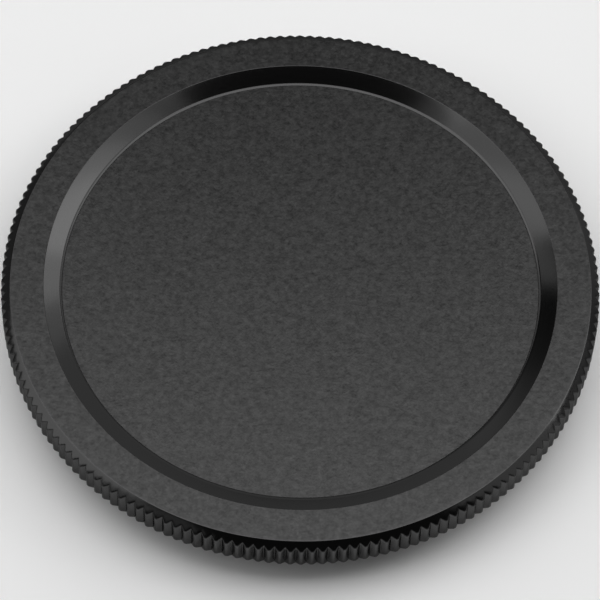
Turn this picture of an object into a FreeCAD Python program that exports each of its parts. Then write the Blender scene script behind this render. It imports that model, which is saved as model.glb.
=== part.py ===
# Screw-in lens cap, turned from one piece of aluminium and anodised black.
# The frame: +Z up through the cap's face, the origin at the middle of the thread skirt's end,
# which is the plane that the cap rests on. All lengths are in millimetres.
import FreeCAD
import Part

import math
import os

# The male thread that screws into a lens or filter ring
thread_diameter = 51.9
thread_pitch = 0.75
thread_depth_per_pitch = 0.6134
skirt_height = 3.2
skirt_wall = 1.45
relief_clearance = 0.05
lead_in_angle = 45.0

# The undercut in the corner between thread and seat, which lets a ring seat flat
undercut_depth = 0.10
undercut_clearance = 0.10

# The knurled flange that fingers turn
flange_overhang = 2.05
flange_height = 3.5
top_chamfer_width = 0.84
bottom_chamfer_width = 0.60
chamfer_angle = 35.0

# The straight knurl around the flange: flat crests between shallow V grooves
knurl_pitch = 0.977
groove_depth = 0.28
groove_angle = 90.0

# The dished face: a flat floor sunk inside a raised flat border
border_width = 3.15
recess_depth = 0.93
recess_wall_angle = 31.0
recess_corner_radius = 0.65
floor_thickness = 1.1

# The small breaks left on turned edges
edge_break = 0.08
mouth_break = 0.15
pocket_corner_break = 0.50

# How near an edge has to lie to the place it is looked for at
match_tolerance = 0.001

# The skirt, worked out from the thread
thread_radius = thread_diameter / 2
thread_depth = thread_pitch * thread_depth_per_pitch
relief_radius = thread_radius - thread_depth - relief_clearance
relief_z = skirt_height - thread_pitch
lead_in_z = (thread_radius - relief_radius) / math.tan(math.radians(lead_in_angle))
bore_radius = thread_radius - skirt_wall

# The flange, which overhangs the thread to make the seat
flange_radius = thread_radius + flange_overhang
face_z = skirt_height + flange_height
chamfer_slope = math.tan(math.radians(chamfer_angle))
top_chamfer_z = face_z - top_chamfer_width * chamfer_slope
seat_outer_radius = flange_radius - bottom_chamfer_width
seat_inner_radius = thread_radius + undercut_clearance
undercut_z = skirt_height + undercut_depth
bottom_chamfer_z = skirt_height + bottom_chamfer_width * chamfer_slope

# The face and the pocket behind it
border_outer_radius = flange_radius - top_chamfer_width
border_inner_radius = border_outer_radius - border_width
floor_z = face_z - recess_depth
floor_radius = border_inner_radius - recess_depth / math.tan(math.radians(recess_wall_angle))
pocket_z = floor_z - floor_thickness

# The knurl, a whole number of teeth around the flange
tooth_count = round(math.tau * flange_radius / knurl_pitch)

# The axis that the lathe turns about
origin = FreeCAD.Vector(0, 0, 0)
axis = FreeCAD.Vector(0, 0, 1)


def circles_at(shape, places):
    """The shape's round edges about the axis, at each (radius, z) place."""
    found = []
    for radius, z in places:
        for edge in shape.Edges:
            if not isinstance(edge.Curve, Part.Circle):
                continue
            same_radius = abs(edge.Curve.Radius - radius) < match_tolerance
            same_height = abs(edge.Curve.Center.z - z) < match_tolerance
            if same_radius and same_height:
                found.append(edge)
    return found


def turned_section():
    """Half of the cap's section, as a face in the XZ plane with sharp corners."""
    corners = [
        (0, floor_z),
        (floor_radius, floor_z),
        (border_inner_radius, face_z),
        (border_outer_radius, face_z),
        (flange_radius, top_chamfer_z),
        (flange_radius, bottom_chamfer_z),
        (seat_outer_radius, skirt_height),
        (seat_inner_radius, skirt_height),
        (seat_inner_radius, undercut_z),
        (relief_radius, undercut_z),
        (relief_radius, relief_z),
        (thread_radius, relief_z),
        (thread_radius, lead_in_z),
        (relief_radius, 0),
        (bore_radius, 0),
        (bore_radius, pocket_z),
        (0, pocket_z),
    ]
    points = [FreeCAD.Vector(x, 0, z) for x, z in corners]
    return Part.Face(Part.makePolygon(points + points[:1]))


def turned_blank():
    """The cap as it leaves the lathe: the section turned about the axis, with its edges eased."""
    blank = turned_section().revolve(origin, axis, 360)
    blank = blank.makeFillet(recess_corner_radius, circles_at(blank, [(floor_radius, floor_z)]))
    border_edges = [(border_inner_radius, face_z), (border_outer_radius, face_z)]
    blank = blank.makeChamfer(edge_break, circles_at(blank, border_edges))
    blank = blank.makeChamfer(mouth_break, circles_at(blank, [(bore_radius, 0)]))
    return blank.makeChamfer(pocket_corner_break, circles_at(blank, [(bore_radius, pocket_z)]))


def groove_cutter():
    """A V on the +X side, open past the flange's rim and as tall as the flange."""
    root_x = flange_radius - groove_depth
    mouth_x = flange_radius + groove_depth
    mouth_y = (mouth_x - root_x) * math.tan(math.radians(groove_angle / 2))
    points = [
        FreeCAD.Vector(mouth_x, -mouth_y, skirt_height),
        FreeCAD.Vector(root_x, 0, skirt_height),
        FreeCAD.Vector(mouth_x, mouth_y, skirt_height),
    ]
    return Part.Face(Part.makePolygon(points + points[:1])).extrude(axis * flange_height)


def knurl_grooves():
    """The groove cutter, copied to each side of every tooth, with one tooth centred on +X."""
    cutter = groove_cutter()
    grooves = []
    for i in range(tooth_count):
        groove = cutter.copy()
        groove.rotate(origin, axis, (i + 0.5) * 360 / tooth_count)
        grooves.append(groove)
    return grooves


def main():
    os.makedirs("parts", exist_ok=True)
    cap = turned_blank().cut(knurl_grooves())
    solid = cap.Solids[0]
    print("solids", len(cap.Solids), "valid", cap.isValid(), "closed", solid.isClosed())
    print("teeth", tooth_count, "faces", len(solid.Faces), "volume mm3", round(solid.Volume, 1))
    solid.exportStep("parts/lens_cap.step")


main()
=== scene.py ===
# %% [markdown]
# # A screw-in metal lens cap
# The object is one piece of aluminium: turned on a lathe, knurled around its rim, blasted matte on
# its flat faces and anodised black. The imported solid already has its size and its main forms.
# This scene gives it what a solid model leaves out: eased edges, the fine screw thread and the
# finishes. The frame is loaded first, because everything that follows is measured from it.

# %% Load the frame
import math

import bpy
import numpy as np
from mathutils import Matrix, Vector


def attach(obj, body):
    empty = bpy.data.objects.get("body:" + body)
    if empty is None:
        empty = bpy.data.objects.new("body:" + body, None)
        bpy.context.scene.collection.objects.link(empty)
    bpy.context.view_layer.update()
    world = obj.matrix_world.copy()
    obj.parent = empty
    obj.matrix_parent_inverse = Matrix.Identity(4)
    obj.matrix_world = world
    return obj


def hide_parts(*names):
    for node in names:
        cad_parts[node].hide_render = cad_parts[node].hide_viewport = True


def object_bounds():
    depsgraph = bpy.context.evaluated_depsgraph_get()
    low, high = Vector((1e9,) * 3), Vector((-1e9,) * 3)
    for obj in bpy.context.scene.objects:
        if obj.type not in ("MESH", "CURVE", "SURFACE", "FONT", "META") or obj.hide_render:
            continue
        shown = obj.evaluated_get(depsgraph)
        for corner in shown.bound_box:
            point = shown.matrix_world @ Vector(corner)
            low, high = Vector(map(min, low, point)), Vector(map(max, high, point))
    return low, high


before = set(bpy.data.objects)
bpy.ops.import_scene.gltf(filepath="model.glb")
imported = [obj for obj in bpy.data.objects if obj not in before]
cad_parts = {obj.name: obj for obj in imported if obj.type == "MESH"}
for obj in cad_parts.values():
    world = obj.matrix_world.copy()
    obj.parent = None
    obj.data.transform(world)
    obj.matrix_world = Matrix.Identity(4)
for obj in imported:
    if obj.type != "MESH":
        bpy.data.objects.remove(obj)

mm = 0.001

cad_low, cad_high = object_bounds()
print("solid model's box, mm:", [round(side / mm, 3) for side in cad_high - cad_low])

# %% [markdown]
# ## Sizes
# A turned part is drawn as one half section, so the sizes are radii from the axis and heights above
# the plane that the cap rests on. They are in millimetres, and the overall radius and height come
# from the frame. Each later step adds the sizes that it needs. Small values such as an edge's
# radius matter as much as the large ones here, because the thin bright lines along the edges of
# black metal are what makes its shape readable.

# %% Section sizes
flange_radius = cad_high.x / mm
face_z = cad_high.z / mm
seat_z = 3.2

top_chamfer_width = 0.84
bottom_chamfer_width = 0.60
border_width = 3.15
recess_depth = 0.93
wall_angle = math.radians(31)
chamfer_angle = math.radians(35)

wall_slope = math.tan(wall_angle)
chamfer_slope = math.tan(chamfer_angle)
border_outer_radius = flange_radius - top_chamfer_width
border_inner_radius = border_outer_radius - border_width
seat_outer_radius = flange_radius - bottom_chamfer_width
floor_z = face_z - recess_depth
floor_radius = border_inner_radius - recess_depth / wall_slope

print("flange radius", round(flange_radius, 3), "face height", round(face_z, 3))

# %% [markdown]
# ## Rings of points
# Everything round on the cap can be built as rings of points about one axis, joined ring to ring
# along the section. Blender's Spin or Screw would do this for the plain faces, but the knurl and
# the thread need rings whose radius or height changes as they go round. So one small kit of
# functions adds rings and joins them, and every surface of the cap shares it. The section is
# followed in one direction, from the middle of the face, over the rim and down to the middle of
# the pocket, so that every face points outwards.

# %% Rings
points = []
faces = []
face_finishes = []


def ring(radius, height, angles):
    """Adds a closed ring of points and returns their numbers. Radius and height may vary."""
    first = len(points)
    radius = np.broadcast_to(radius, angles.shape)
    height = np.broadcast_to(height, angles.shape)
    places = np.stack([radius * np.cos(angles), radius * np.sin(angles), height], axis=1)
    points.extend((places * mm).tolist())
    return list(range(first, first + len(angles)))


round_steps = 720
round_angles = np.arange(round_steps) * math.tau / round_steps
print("points in a plain ring:", round_steps)

# %% Faces between rings
def add_face(corners, finish):
    """Adds one face, leaving out corners that fall together."""
    kept = [c for i, c in enumerate(corners) if c != corners[i - 1]]
    if len(set(kept)) < 3:
        return
    faces.append(kept)
    face_finishes.append(finish)


def join(first, second, finish):
    """Joins two rings. One may have several points for each point of the other."""
    steps = min(len(first), len(second))
    first_share = len(first) // steps
    second_share = len(second) // steps
    for i in range(steps):
        near = [first[(i * first_share + k) % len(first)] for k in range(first_share + 1)]
        far = [second[(i * second_share + k) % len(second)] for k in range(second_share + 1)]
        add_face(far + near[::-1], finish)


def join_all(rings, finish):
    """Joins each ring to the next."""
    for first, second in zip(rings, rings[1:]):
        join(first, second, finish)

# %% [markdown]
# ## Eased corners
# A cutting tool has a small round nose, and tumbling and anodising wear a sharp edge down, so no
# corner of the section is quite sharp. A Bevel modifier could ease them, but it would also touch
# the knurl and the thread. Here each corner that shows is turned into a short arc of the section
# before any ring is made, so its radius is exact.

# %% Corner arc
def eased(before, corner, after, radius, steps):
    """Points along the arc that eases a corner of the section, from one side to the other."""
    before, corner, after = (np.array(p, float) for p in (before, corner, after))
    to_before = (before - corner) / np.linalg.norm(before - corner)
    to_after = (after - corner) / np.linalg.norm(after - corner)
    half_angle = math.acos(np.clip(to_before @ to_after, -1, 1)) / 2
    inward = (to_before + to_after) / np.linalg.norm(to_before + to_after)
    centre = corner + inward * radius / math.sin(half_angle)
    start = corner + to_before * radius / math.tan(half_angle) - centre
    end = corner + to_after * radius / math.tan(half_angle) - centre
    turn = math.acos(np.clip(start @ end / radius**2, -1, 1))
    shares = [k / steps for k in range(steps + 1)]
    return [
        centre + (math.sin((1 - t) * turn) * start + math.sin(t * turn) * end) / math.sin(turn)
        for t in shares
    ]


edge_steps = 4
print("faces across an eased edge:", edge_steps)

# %% [markdown]
# ## The dished face
# On the lathe the floor is faced flat and the tool then climbs a shallow slope to the raised
# border. Its nose leaves a small radius where floor meets slope, and that radius is what catches
# the light as a thin line. A flat disc could be one polygon with hundreds of corners, but rings
# that halve in number towards the middle give clean, even faces. A narrow band of flat faces
# beside each edge keeps the shading of the flat part flat.

# %% Flat discs
fewest_points = 45
ring_shrink = 0.62


def disc_rings(radius, height):
    """Rings that fill a flat disc from its edge, with fewer points in each towards the middle."""
    rings = []
    count = round_steps
    while count >= fewest_points:
        rings.append(ring(radius, height, np.arange(count) * math.tau / count))
        radius = radius * ring_shrink
        count = count // 2
    return rings


# %% Face
floor_corner = 0.65
corner_steps = 10
edge_radius = 0.09
floor_band = 0.2
border_band = 0.3

floor_point = (floor_radius, floor_z)
border_inner = (border_inner_radius, face_z)
border_outer = (border_outer_radius, face_z)

corner_points = eased((0, floor_z), floor_point, border_inner, floor_corner, corner_steps)
crown_points = eased(floor_point, border_inner, border_outer, edge_radius, edge_steps)

floor_rings = disc_rings(corner_points[0][0] - floor_band, floor_z)
corner_rings = [ring(r, z, round_angles) for r, z in corner_points]
crown_rings = [ring(r, z, round_angles) for r, z in crown_points]
border_rings = [crown_rings[-1], ring(border_outer_radius - border_band, face_z, round_angles)]

add_face(floor_rings[-1], "matte")
join_all(floor_rings[::-1] + corner_rings[:1], "matte")
join_all(corner_rings + crown_rings, "turned")
join_all(border_rings, "matte")
print("faces so far:", len(faces))

# %% [markdown]
# ## The knurl
# A straight knurling wheel rolls V grooves into the rim and leaves narrow flat crests between
# them. The walls of a groove reflect each other and look dark, and the crests face outwards and
# catch the light, which is what makes the fine bars around the rim. Each groove runs out where it
# meets the sloping chamfers, which scallops the rim's top edge. A bump texture would not give the
# rippled outline against the background, so the teeth are real. Each is sixteen columns of points.
# A column keeps its angle, and its radius says where it leaves the chamfer.

# %% Tooth outline
tooth_count = 180
groove_depth = 0.34
crest_width = 0.22
crest_ease = 0.04
root_ease = 0.03
flank_columns = 4

half_pitch = math.pi / tooth_count * flange_radius
crest_half = crest_width / 2
flank_slope = groove_depth / (half_pitch - crest_half)


def depth_below_crest(across):
    """The groove's depth that far from a crest's middle. Parabolas ease its two bends."""
    past_crest = across - crest_half
    from_root = half_pitch - across
    if past_crest <= crest_ease:
        return flank_slope * max(past_crest + crest_ease, 0.0) ** 2 / (4 * crest_ease)
    if from_root <= root_ease:
        return groove_depth - flank_slope * (root_ease / 2 + from_root**2 / (2 * root_ease))
    return flank_slope * past_crest


def half_tooth():
    """(radius, angle) of the columns from the middle of a crest to the middle of a groove."""
    flank_start = crest_half + crest_ease
    flank_step = (half_pitch - root_ease - flank_start) / (flank_columns - 1)
    places = [0.0, crest_half - crest_ease, crest_half]
    places += [flank_start + flank_step * k for k in range(flank_columns)]
    places += [half_pitch - root_ease / 2, half_pitch]
    return [(flange_radius - depth_below_crest(p), p / flange_radius) for p in places]


print("pitch of the teeth, mm:", round(2 * half_pitch, 3), "depth:", groove_depth)

# %% Knurl columns
def knurl_columns():
    """The radius and angle of every column around the rim, starting in the middle of a crest."""
    half = half_tooth()
    tooth = half + [(radius, math.tau / tooth_count - angle) for radius, angle in half[-2:0:-1]]
    radii = np.tile([radius for radius, angle in tooth], tooth_count)
    offsets = np.repeat(np.arange(tooth_count) * math.tau / tooth_count, len(tooth))
    angles = np.tile([angle for radius, angle in tooth], tooth_count) + offsets
    return radii, angles


knurl_radii, knurl_angles = knurl_columns()
print("teeth:", tooth_count, "columns in each:", len(knurl_radii) // tooth_count)

# %% [markdown]
# ## The rows of the knurl
# The rows follow the section again: the border's eased edge, the top chamfer as far as each
# column's own radius, the tooth's wall, the bottom chamfer and the seat's edge. Where the top
# chamfer meets the wall, rows close together bend from one into the other, because tumbling and
# anodising leave that shoulder soft. The bottom one faces the table and gets fewer rows.

# %% Shoulders of the teeth
def top_chamfer(radius):
    """The height of the top chamfer at that radius."""
    return face_z - (radius - border_outer_radius) * chamfer_slope


def bottom_chamfer(radius):
    """The height of the bottom chamfer at that radius."""
    return seat_z + (radius - seat_outer_radius) * chamfer_slope


def knurl_ring(radius, height):
    """A ring with a point on every column of the knurl."""
    return ring(radius, height, knurl_angles)


def shoulder_rings(chamfer, rise, steps):
    """Rings that bend from that chamfer into the teeth's walls, which end that far above it."""
    inner = knurl_radii - abs(rise)
    wall_end = chamfer(knurl_radii) + rise
    rings = []
    for k in range(steps + 1):
        t = k / steps
        inner_share = (1 - t) ** 2
        bend_share = 2 * t * (1 - t)
        end_share = t**2
        radius = inner_share * inner + (bend_share + end_share) * knurl_radii
        slope_part = inner_share * chamfer(inner) + bend_share * chamfer(knurl_radii)
        rings.append(knurl_ring(radius, slope_part + end_share * wall_end))
    return rings


# %% Knurl rows
rim_radius = 0.16
top_shoulder = 0.13
bottom_shoulder = 0.05
top_steps = 4
bottom_steps = 2

rim_point = (flange_radius, top_chamfer(flange_radius))
rim_edge = eased(border_inner, border_outer, rim_point, rim_radius, edge_steps)
rim_rings = [knurl_ring(r, z) for r, z in rim_edge]

chamfer_start = rim_edge[-1][0]
chamfer_middle = (chamfer_start + knurl_radii - top_shoulder) / 2
wall_middle = (top_chamfer(knurl_radii) + bottom_chamfer(knurl_radii)) / 2

tooth_rings = (
    [knurl_ring(chamfer_middle, top_chamfer(chamfer_middle))]
    + shoulder_rings(top_chamfer, -top_shoulder, top_steps)
    + [knurl_ring(knurl_radii, wall_middle)]
    + shoulder_rings(bottom_chamfer, bottom_shoulder, bottom_steps)[::-1]
    + [knurl_ring(seat_outer_radius, seat_z)]
)

join(border_rings[-1], rim_rings[0], "matte")
join_all(rim_rings, "turned")
join_all([rim_rings[-1]] + tooth_rings[:top_steps + 1], "turned")
join_all(tooth_rings[top_steps:], "knurl")
print("faces so far:", len(faces))

# %% [markdown]
# ## The screw thread
# The thread is a 60 degree V wound round the skirt, 0.75 millimetres to a turn. Blender's Screw
# modifier can wind it, but its two ends then need cutting to the lead-in and the relief. Here the
# rows of points climb with the angle, one pitch in a turn, and each point is held between the
# skirt's end and the relief and inside the lead-in's cone. The thread then starts and runs out as
# a cut one does. After a whole turn each row meets the row that began one pitch higher.

# %% Thread profile
thread_radius = 25.95
thread_pitch = 0.75
thread_depth_per_pitch = 0.6134
relief_clearance = 0.05
crest_flat = thread_pitch / 8
root_flat = thread_pitch / 5
flank_shares = (0.33, 0.67)

thread_depth = thread_depth_per_pitch * thread_pitch
root_radius = thread_radius - thread_depth
relief_radius = root_radius - relief_clearance
relief_z = seat_z - thread_pitch
flank_width = (thread_pitch - crest_flat - root_flat) / 2

thread_profile = (
    [(0.0, thread_radius), (crest_flat, thread_radius)]
    + [(crest_flat + flank_width * s, thread_radius - thread_depth * s) for s in flank_shares]
    + [(crest_flat + flank_width, root_radius), (crest_flat + flank_width + root_flat, root_radius)]
    + [(thread_pitch - flank_width * s, thread_radius - thread_depth * s) for s in flank_shares[::-1]]
)
profile_heights = [height for height, radius in thread_profile] + [thread_pitch]
profile_radii = [radius for height, radius in thread_profile] + [thread_radius]


def thread_surface(height, angles):
    """The thread's radius at that height and angle, held inside the lead-in's 45 degree cone."""
    wound = (height - angles / math.tau * thread_pitch) % thread_pitch
    radius = np.interp(wound, profile_heights, profile_radii)
    return np.minimum(radius, relief_radius + height)


print("thread depth:", round(thread_depth, 3), "rows in a turn:", len(thread_profile))

# %% [markdown]
# ## Where the thread ends
# Points that are held at an end of the thread would lie on top of each other, so they share one
# point there. A row that only just reaches the end would leave sliver faces, so points within a
# thousandth of a millimetre of the end share its point as well.

# %% Thread rows
shared_within = 0.001


def thread_rows():
    """Every row of the thread, as heights that climb with the angle, held between its two ends."""
    turns = math.ceil(relief_z / thread_pitch) + 1
    rows = []
    for turn in range(-1, turns):
        for start, radius in thread_profile:
            climbing = (turn + round_angles / math.tau) * thread_pitch + start
            rows.append(np.clip(climbing, 0.0, relief_z))
    return rows


def thread_rings():
    """Rings for the rows, where points that are held at an end share one point there."""
    low_ring = ring(thread_surface(0.0, round_angles), 0.0, round_angles)
    high_ring = ring(thread_surface(relief_z, round_angles), relief_z, round_angles)
    rings = []
    for heights in thread_rows():
        made = ring(thread_surface(heights, round_angles), heights, round_angles)
        held_low = heights < shared_within
        held_high = heights > relief_z - shared_within
        rings.append([
            low_ring[i] if held_low[i] else high_ring[i] if held_high[i] else made[i]
            for i in range(round_steps)
        ])
    return low_ring, high_ring, rings


thread_low, thread_high, rows = thread_rings()
print("thread rows:", len(rows))

# %% Thread faces
def next_in_row(row, i):
    """The point after point i of that row. Past a whole turn the row is one pitch higher."""
    if i + 1 < round_steps:
        return rows[row][i + 1]
    shifted = row + len(thread_profile)
    return rows[shifted][0] if shifted < len(rows) else thread_high[0]


for row in range(len(rows) - 1):
    for i in range(round_steps):
        corners = [rows[row + 1][i], rows[row][i], next_in_row(row, i), next_in_row(row + 1, i)]
        add_face(corners, "thread")
print("faces so far:", len(faces))

# %% [markdown]
# ## The seat, the relief and the pocket
# Behind the flange a flat ring seats on the lens. A small undercut and a relief groove part it
# from the thread, so that the cap screws down flat. Inside the skirt a plain bore leads to the
# pocket's floor, which stands clear of a bulging front element. These are plain turned faces.

# %% Back of the cap
undercut_clearance = 0.1
undercut_depth = 0.1
skirt_wall = 1.45
floor_thickness = 1.1
pocket_corner = 0.5
pocket_band = 0.5
mouth_corner = 0.15

seat_inner_radius = thread_radius + undercut_clearance
undercut_z = seat_z + undercut_depth
bore_radius = thread_radius - skirt_wall
pocket_z = floor_z - floor_thickness

undercut_rings = [
    ring(seat_inner_radius, seat_z, round_angles),
    ring(seat_inner_radius, undercut_z, round_angles),
    ring(relief_radius, undercut_z, round_angles),
    ring(relief_radius, relief_z, round_angles),
    thread_high,
]
join(tooth_rings[-1], undercut_rings[0], "turned")
join_all(undercut_rings, "thread")

mouth_points = [(bore_radius + mouth_corner, 0), (bore_radius, mouth_corner)]
pocket_points = [(bore_radius, pocket_z - pocket_corner), (bore_radius - pocket_corner, pocket_z)]
bore_rings = [ring(r, z, round_angles) for r, z in mouth_points + pocket_points]
pocket_rings = disc_rings(bore_radius - pocket_corner - pocket_band, pocket_z)

join_all([thread_low] + bore_rings + pocket_rings, "turned")
add_face(pocket_rings[-1][::-1], "turned")
print("faces in all:", len(faces))

# %% [markdown]
# ## One mesh
# The cap is one piece of metal, so it is one closed mesh with a material for each finish. Smooth
# shading with normals weighted by face area keeps the broad faces flat right up to the small
# eased edges, and only corners that are really sharp stay hard.

# %% Make the cap
finish_names = ["matte", "turned", "knurl", "thread"]
hard_corner = math.radians(40)


def make_cap():
    """The closed mesh of the cap, with loose points removed and its finishes numbered."""
    used = sorted({corner for face in faces for corner in face})
    renumbered = {old: new for new, old in enumerate(used)}
    mesh = bpy.data.meshes.new("lens_cap_metal")
    mesh.from_pydata(
        [points[i] for i in used],
        [],
        [[renumbered[corner] for corner in face] for face in faces],
    )
    mesh.polygons.foreach_set("material_index", [finish_names.index(f) for f in face_finishes])
    mesh.polygons.foreach_set("use_smooth", [True] * len(mesh.polygons))
    mesh.set_sharp_from_angle(angle=hard_corner)
    mesh.update()
    cap = bpy.data.objects.new("lens_cap_metal", mesh)
    bpy.context.scene.collection.objects.link(cap)
    weighted = cap.modifiers.new("weighted_normals", "WEIGHTED_NORMAL")
    weighted.keep_sharp = True
    return cap


def count_open_edges(mesh):
    """How many edges don't have a face on both sides."""
    edge_numbers = np.empty(len(mesh.loops), dtype=np.int32)
    mesh.loops.foreach_get("edge_index", edge_numbers)
    return int(np.sum(np.bincount(edge_numbers) != 2))


cap = make_cap()
triangles = sum(len(p.vertices) - 2 for p in cap.data.polygons)
print("points:", len(cap.data.vertices), "triangles:", triangles)
print("open edges:", count_open_edges(cap.data))

# %% [markdown]
# ## Node groups
# Two effects are used by more than one finish: the grain that blasting leaves and the rings that a
# turning tool leaves. Each is a node group, built once and placed in a material with that
# finish's own values. The two helpers below keep the building of a group short.

# %% Node helpers
def new_group(name, inputs, outputs):
    """A shader node group with its input and output nodes, from (name, socket, value) lists."""
    group = bpy.data.node_groups.new(name, "ShaderNodeTree")
    for label, socket, value in inputs:
        made = group.interface.new_socket(label, in_out="INPUT", socket_type=socket)
        if value is not None:
            made.default_value = value
    for label, socket in outputs:
        group.interface.new_socket(label, in_out="OUTPUT", socket_type=socket)
    entry = group.nodes.new("NodeGroupInput")
    leave = group.nodes.new("NodeGroupOutput")
    return group, entry, leave


def math_node(tree, operation, *values):
    """A Math node. Each of its values is a socket or a plain number."""
    node = tree.nodes.new("ShaderNodeMath")
    node.operation = operation
    for socket, value in zip(node.inputs, values):
        if isinstance(value, bpy.types.NodeSocket):
            tree.links.new(value, socket)
        else:
            socket.default_value = value
    return node.outputs[0]


mm_per_metre = 1000.0
print("millimetres in a unit of Blender's:", mm_per_metre)

# %% [markdown]
# ## Blasted grain
# Blasting with fine beads hammers the surface into overlapping soft dimples. A cell texture would
# give them sharp rims, so two sizes of smooth noise are added instead. The group puts out their
# height, for relief and gloss, and a tone around one, for the grey.

# %% Blasted grain
finer_by = 2.3
noise_middle = 0.5


def make_blasted_grain():
    """Grain from bead blasting: overlapping soft dimples in two sizes."""
    inputs = [
        ("Vector", "NodeSocketVector", None),
        ("Grain", "NodeSocketFloat", 0.2),
        ("Fine", "NodeSocketFloat", 0.5),
        ("Contrast", "NodeSocketFloat", 0.8),
    ]
    outputs = [("Height", "NodeSocketFloat"), ("Tone", "NodeSocketFloat")]
    group, entry, leave = new_group("blasted_grain", inputs, outputs)
    per_metre = math_node(group, "DIVIDE", mm_per_metre, entry.outputs["Grain"])
    coarse = group.nodes.new("ShaderNodeTexNoise")
    coarse.inputs["Detail"].default_value = 1.0
    fine = group.nodes.new("ShaderNodeTexNoise")
    fine.inputs["Detail"].default_value = 2.0
    for texture, scale in ((coarse, 1.0), (fine, finer_by)):
        group.links.new(entry.outputs["Vector"], texture.inputs["Vector"])
        group.links.new(math_node(group, "MULTIPLY", per_metre, scale), texture.inputs["Scale"])
    weighted = math_node(group, "MULTIPLY", fine.outputs["Fac"], entry.outputs["Fine"])
    height = math_node(group, "ADD", coarse.outputs["Fac"], weighted)
    level = math_node(group, "MULTIPLY_ADD", entry.outputs["Fine"], noise_middle, noise_middle)
    above = math_node(group, "SUBTRACT", height, level)
    tone = math_node(group, "MULTIPLY_ADD", above, entry.outputs["Contrast"], 1.0)
    group.links.new(height, leave.inputs["Height"])
    group.links.new(tone, leave.inputs["Tone"])
    return group


blasted_grain = make_blasted_grain()
print("group:", blasted_grain.name, [s.name for s in blasted_grain.interface.items_tree])

# %% [markdown]
# ## Turning marks
# A turning tool leaves fine rings about the lathe's axis. A wave texture would make them too
# even, so noise is read along the radius and the height alone. It stays the same all the way
# round, and gives rings of uneven strength on flat faces, slopes and walls.

# %% Turning marks
def make_turning_marks():
    """Fine rings about the axis, as a turning tool leaves them, from the radius and the height."""
    inputs = [
        ("Vector", "NodeSocketVector", None),
        ("Spacing", "NodeSocketFloat", 0.05),
    ]
    group, entry, leave = new_group("turning_marks", inputs, [("Height", "NodeSocketFloat")])
    parts = group.nodes.new("ShaderNodeSeparateXYZ")
    group.links.new(entry.outputs["Vector"], parts.inputs[0])
    squares = math_node(
        group,
        "ADD",
        math_node(group, "MULTIPLY", parts.outputs["X"], parts.outputs["X"]),
        math_node(group, "MULTIPLY", parts.outputs["Y"], parts.outputs["Y"]),
    )
    section = group.nodes.new("ShaderNodeCombineXYZ")
    group.links.new(math_node(group, "SQRT", squares), section.inputs["X"])
    group.links.new(parts.outputs["Z"], section.inputs["Y"])
    per_metre = math_node(group, "DIVIDE", mm_per_metre, entry.outputs["Spacing"])
    texture = group.nodes.new("ShaderNodeTexNoise")
    texture.noise_dimensions = "2D"
    texture.inputs["Detail"].default_value = 2.0
    group.links.new(section.outputs[0], texture.inputs["Vector"])
    group.links.new(per_metre, texture.inputs["Scale"])
    group.links.new(texture.outputs["Fac"], leave.inputs["Height"])
    return group


turning_marks = make_turning_marks()
print("group:", turning_marks.name, [s.name for s in turning_marks.interface.items_tree])

# %% [markdown]
# ## Anodised black
# Black anodising is a hard clear skin whose fine pores hold a black dye. Light passes the skin,
# meets the metal and comes back dimmed, so it is shaded as a very dark metal. A dark plastic with
# a plain gloss would turn pale at grazing angles, which this skin does not: the tint on the
# metal's edge holds it back. What differs from face to face is the grey, how rough it is and what
# the tool left in it, so one function makes the metal and four finishes add the rest.

# %% Anodised metal
grazing_tint = 0.40


def anodised(name, grey, roughness):
    """Gives the cap a dyed metal. Returns its nodes, its shader and its coordinates."""
    material = bpy.data.materials.new(name)
    material.use_nodes = True
    tree = material.node_tree
    shader = tree.nodes["Principled BSDF"]
    shader.inputs["Base Color"].default_value = (grey, grey, grey, 1)
    shader.inputs["Metallic"].default_value = 1.0
    shader.inputs["Specular Tint"].default_value = (grazing_tint, grazing_tint, grazing_tint, 1)
    shader.inputs["Roughness"].default_value = roughness
    place = tree.nodes.new("ShaderNodeTexCoord").outputs["Object"]
    cap.data.materials.append(material)
    return tree, shader, place


def place_group(tree, group, place, values):
    """A group in a material, given the surface's coordinates and its own values."""
    node = tree.nodes.new("ShaderNodeGroup")
    node.node_tree = group
    tree.links.new(place, node.inputs["Vector"])
    for label, value in values.items():
        node.inputs[label].default_value = value
    return node


print("tint of the metal's edge:", grazing_tint)

# %% [markdown]
# ## Matte blasted faces
# The floor and the border are blasted, which scatters the light and shows a fine grain. The grain
# is shallow relief and a slight change of tone together, because relief alone fades under a broad
# light. Its hollows are a little smoother than its tops.

# %% Relief, gloss and tone
def bump(tree, shader, height, depth):
    """Height as relief of that depth in millimetres."""
    node = tree.nodes.new("ShaderNodeBump")
    node.inputs["Strength"].default_value = 1.0
    node.inputs["Distance"].default_value = depth * mm
    tree.links.new(height, node.inputs["Height"])
    tree.links.new(node.outputs["Normal"], shader.inputs["Normal"])


def vary_roughness(tree, shader, height, low, high):
    """Spreads a height over a range of roughness, which replaces the plain one."""
    node = tree.nodes.new("ShaderNodeMapRange")
    node.inputs["To Min"].default_value = low
    node.inputs["To Max"].default_value = high
    tree.links.new(height, node.inputs["Value"])
    tree.links.new(node.outputs["Result"], shader.inputs["Roughness"])


def shade_by(tree, shader, grey, tone):
    """Makes the dyed grey lighter and darker by a tone around one."""
    node = tree.nodes.new("ShaderNodeVectorMath")
    node.operation = "SCALE"
    node.inputs[0].default_value = (grey, grey, grey)
    tree.links.new(tone, node.inputs["Scale"])
    tree.links.new(node.outputs["Vector"], shader.inputs["Base Color"])


# %% Matte finish
blasted_black = 0.042

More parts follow.
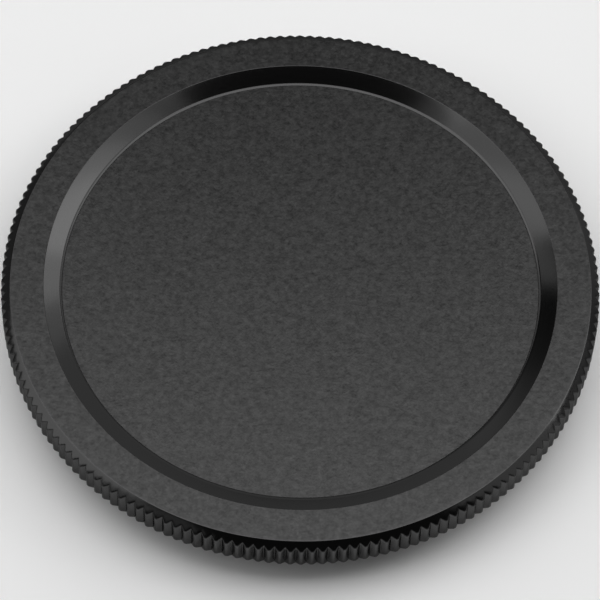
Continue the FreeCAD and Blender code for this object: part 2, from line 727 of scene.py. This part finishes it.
tree, shader, place = anodised("matte_blasted", grey=blasted_black, roughness=0.32)
grain = place_group(tree, blasted_grain, place, {"Grain": 0.46, "Fine": 0.7, "Contrast": 0.9})
bump(tree, shader, grain.outputs["Height"], depth=0.012)
shade_by(tree, shader, blasted_black, grain.outputs["Tone"])
vary_roughness(tree, shader, grain.outputs["Height"], low=0.23, high=0.35)
print("finish: matte_blasted, grey", blasted_black)

# %% [markdown]
# ## Turned faces
# The slope, the top chamfer and the plain faces behind are as the tool left them: glossier, with
# faint rings. The rings are less than half a thousandth of a millimetre deep, so they only break
# the reflections up a little.

# %% Turned finish
turned_black = 0.045

tree, shader, place = anodised("turned_satin", grey=turned_black, roughness=0.14)
marks = place_group(tree, turning_marks, place, {"Spacing": 0.06})
bump(tree, shader, marks.outputs["Height"], depth=0.0004)
vary_roughness(tree, shader, marks.outputs["Height"], low=0.11, high=0.17)
print("finish: turned_satin, grey", turned_black)

# %% [markdown]
# ## Rolled knurl
# The knurling wheel presses the teeth instead of cutting them. They come out less glossy than the
# turned faces, with a very fine grain. Their grey is lighter than the dye's, which is painted
# reflection: it makes up for the floor light that the cap's own shadow takes from in front of the
# teeth.

# %% Knurl finish
# A lighter grey than the dye: painted reflection that brightens the bars of the teeth.
knurl_grey_painted_reflection = 0.10

tree, shader, place = anodised("knurl_satin", grey=knurl_grey_painted_reflection, roughness=0.25)
grain = place_group(tree, blasted_grain, place, {"Grain": 0.15, "Fine": 0.5})
bump(tree, shader, grain.outputs["Height"], depth=0.004)
print("finish: knurl_satin, grey", knurl_grey_painted_reflection)

# %% [markdown]
# ## Cut thread
# The thread is as dark as the turned faces but less glossy, and its flanks keep deeper marks of
# the tool.

# %% Thread finish
tree, shader, place = anodised("thread_satin", grey=turned_black, roughness=0.28)
marks = place_group(tree, turning_marks, place, {"Spacing": 0.05})
bump(tree, shader, marks.outputs["Height"], depth=0.001)
print("finishes:", [m.name for m in cap.data.materials])

# %% [markdown]
# ## Into the frame
# The mesh stands for the solid model's one node and rides on its one body.

# %% Ride on the frame
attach(cap, "root")
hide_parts("lens_cap")
print("piece:", cap.name, "mm:", [round(side / mm, 2) for side in cap.dimensions])

# %% [markdown]
# ## Camera
# The view is a telephoto one, from about sixty degrees above the table. The camera aims a little
# below the middle of the face and is turned a little about its own line of sight.

# %% Camera
camera_distance = 12 * border_outer_radius * mm
camera_elevation = math.radians(59.64)
camera_pitch = math.radians(-0.335)
camera_roll = math.radians(2.15)
picture_side = 600
focal_pixels = 3487.8

camera_data = bpy.data.cameras.new("camera")
camera_data.sensor_width = 36
camera_data.lens = focal_pixels / picture_side * camera_data.sensor_width
camera_data.clip_start = 0.01
camera = bpy.data.objects.new("camera", camera_data)
bpy.context.scene.collection.objects.link(camera)
bpy.context.scene.camera = camera

aim = Vector((0, 0, face_z * mm))
outwards = Vector((0, -math.cos(camera_elevation), math.sin(camera_elevation)))
level = Matrix.Rotation(math.pi / 2 - camera_elevation, 4, "X")
pitch = Matrix.Rotation(camera_pitch, 4, "X")
roll = Matrix.Rotation(camera_roll, 4, "Z")
camera.matrix_world = Matrix.Translation(aim + outwards * camera_distance) @ level @ pitch @ roll
print("lens, mm:", round(camera_data.lens, 1), "distance, mm:", round(camera_distance / mm, 1))

# %% [markdown]
# ## Floor
# A plain pale floor carries the cap's shadow. It has no gloss, so it stays even under the lamps.

# %% Floor
floor_half = 3.0
floor_grey = 0.86
floor_roughness = 0.9
floor_corners = [(-1, -1), (1, -1), (1, 1), (-1, 1)]
floor_points = [(x * floor_half, y * floor_half, 0) for x, y in floor_corners]

floor_data = bpy.data.meshes.new("floor")
floor_data.from_pydata(floor_points, [], [(0, 1, 2, 3)])
floor = bpy.data.objects.new("floor", floor_data)
bpy.context.scene.collection.objects.link(floor)
floor_material = bpy.data.materials.new("floor_white")
floor_material.use_nodes = True
floor_shader = floor_material.node_tree.nodes["Principled BSDF"]
floor_shader.inputs["Base Color"].default_value = (floor_grey, floor_grey, floor_grey, 1)
floor_shader.inputs["Roughness"].default_value = floor_roughness
floor_shader.inputs["Specular IOR Level"].default_value = 0.0
floor_data.materials.append(floor_material)
print("floor, m:", [round(side, 2) for side in floor.dimensions])

# %% [markdown]
# ## Lamps
# The light is a broad ceiling of level lamps at one height, strongest overhead and to the right.
# In black metal every facing mirrors its own part of that ceiling. The far slope and the near
# chamfer mirror the dark room in front and turn black, and the slopes at the sides mirror the
# lamps. A real softbox fades towards its sides, and lamps side by side, in steps of strength, do
# the same here, so that the side slopes change tone gradually. One lamp with a gradient could do
# it too, but steps are easier to place and to measure.

# %% Lamp plan
lamp_height = 0.35

# Each has a name, the shares of the height between which it lies across and back, and a strength
lamp_plan = [
    ("softbox", (-0.60, 0.50), (-0.20, 0.53), 2.3),
    ("softbox_left", (-2.5, -1.50), (-0.68, 0.86), 1.55),
    ("low_left", (-1.50, -0.72), (-0.68, -0.33), 1.55),
    ("fade_low_1", (-1.40, -0.85), (-0.92, -0.68), 0.6),
    ("fade_low_2", (-0.85, -0.55), (-1.10, -0.75), 0.32),
    ("fade_left_1", (-0.60, -0.46), (-0.40, -0.20), 0.5),
    ("fade_left_2", (-0.86, -0.60), (-0.33, 0.53), 1.35),
    ("fade_left_3", (-1.12, -0.86), (-0.33, 0.53), 2.0),
    ("fade_left_4", (-1.50, -1.12), (-0.33, 0.50), 1.6),
    ("fade_left_5", (-1.50, -1.12), (0.50, 0.92), 0.8),
    ("softbox_right", (0.97, 1.82), (-0.03, 0.80), 3.4),
    ("fade_near_1", (0.50, 0.62), (-0.34, 0.53), 0.7),
    ("fade_near_2", (0.62, 0.80), (-0.26, 0.53), 1.25),
    ("fade_near_3", (0.80, 0.97), (-0.14, 0.53), 2.2),
    ("fade_far_1", (0.97, 1.82), (0.80, 1.30), 2.0),
    ("fade_far_2", (1.30, 2.00), (1.30, 1.90), 0.6),
    ("card_right", (0.90, 2.3), (-0.72, -0.03), 0.65),
    ("card_low_left", (-7.0, -2.5), (-2.2, 0.20), 1.0),
    ("card_low_right", (2.3, 7.0), (-2.2, -0.03), 0.6),
    ("card_far_right", (2.15, 2.95), (0.12, 1.05), 0.3),
    ("card_far_left", (-2.50, -1.75), (2.30, 4.80), 0.22),
    ("strip_left", (-0.60, -0.15), (0.53, 0.75), 0.9),
    ("strip_right", (0.15, 0.90), (0.53, 0.75), 0.9),
]
print("lamps in the plan:", len(lamp_plan))

# %% Lamps
def level_lamp(name, across, back, radiance):
    """A level lamp between those shares of the lamps' height, as bright as that from below."""
    middle_x = (across[0] + across[1]) / 2 * lamp_height
    middle_y = (back[0] + back[1]) / 2 * lamp_height
    data = bpy.data.lights.new(name, "AREA")
    data.shape = "RECTANGLE"
    data.size = (across[1] - across[0]) * lamp_height
    data.size_y = (back[1] - back[0]) * lamp_height
    data.energy = radiance * math.pi * data.size * data.size_y
    lamp = bpy.data.objects.new(name, data)
    bpy.context.scene.collection.objects.link(lamp)
    lamp.matrix_world = Matrix.Translation((middle_x, middle_y, lamp_height))


for name, across, back, radiance in lamp_plan:
    level_lamp(name, across, back, radiance)
print("lamps, watts:", [round(lamp.energy, 2) for lamp in bpy.data.lights])

# %% [markdown]
# ## Room
# Between and below the lamps the metal mirrors the room. It is nearly dark, with a soft grey
# backdrop behind and a faint glow at the horizon, and the chamfers at the sides mirror both. A
# picture of a studio could stand around the scene instead, but two smooth glows by direction
# keep every strength in plain sight.

# %% Room
backdrop_grey = 0.65
horizon_grey = 0.25
room_dark = 0.05
behind = (0.25, 0.97, 0.0)
downwards = (0.0, 0.0, -1.0)

world = bpy.data.worlds.new("studio")
bpy.context.scene.world = world
world.use_nodes = True
world_tree = world.node_tree
direction = world_tree.nodes.new("ShaderNodeTexCoord").outputs["Generated"]


def glow(towards, start, full, strength):
    """Light that grows smoothly from the room's own to that strength, nearer to a direction."""
    along = world_tree.nodes.new("ShaderNodeVectorMath")
    along.operation = "DOT_PRODUCT"
    along.inputs[1].default_value = towards
    world_tree.links.new(direction, along.inputs[0])
    fade = world_tree.nodes.new("ShaderNodeMapRange")
    fade.interpolation_type = "SMOOTHSTEP"
    fade.inputs["From Min"].default_value = start
    fade.inputs["From Max"].default_value = full
    fade.inputs["To Min"].default_value = room_dark
    fade.inputs["To Max"].default_value = strength
    world_tree.links.new(along.outputs["Value"], fade.inputs["Value"])
    return fade.outputs["Result"]


# %% Glows
backdrop = glow(behind, start=0.45, full=0.85, strength=backdrop_grey)
horizon = glow(downwards, start=-0.50, full=-0.20, strength=horizon_grey)
background = world_tree.nodes["Background"]
background.inputs["Color"].default_value = (1, 1, 1, 1)
brighter = math_node(world_tree, "MAXIMUM", backdrop, horizon)
world_tree.links.new(brighter, background.inputs["Strength"])

bpy.context.scene.view_settings.view_transform = "Standard"
print("room:", room_dark, "backdrop:", backdrop_grey, "horizon:", horizon_grey)
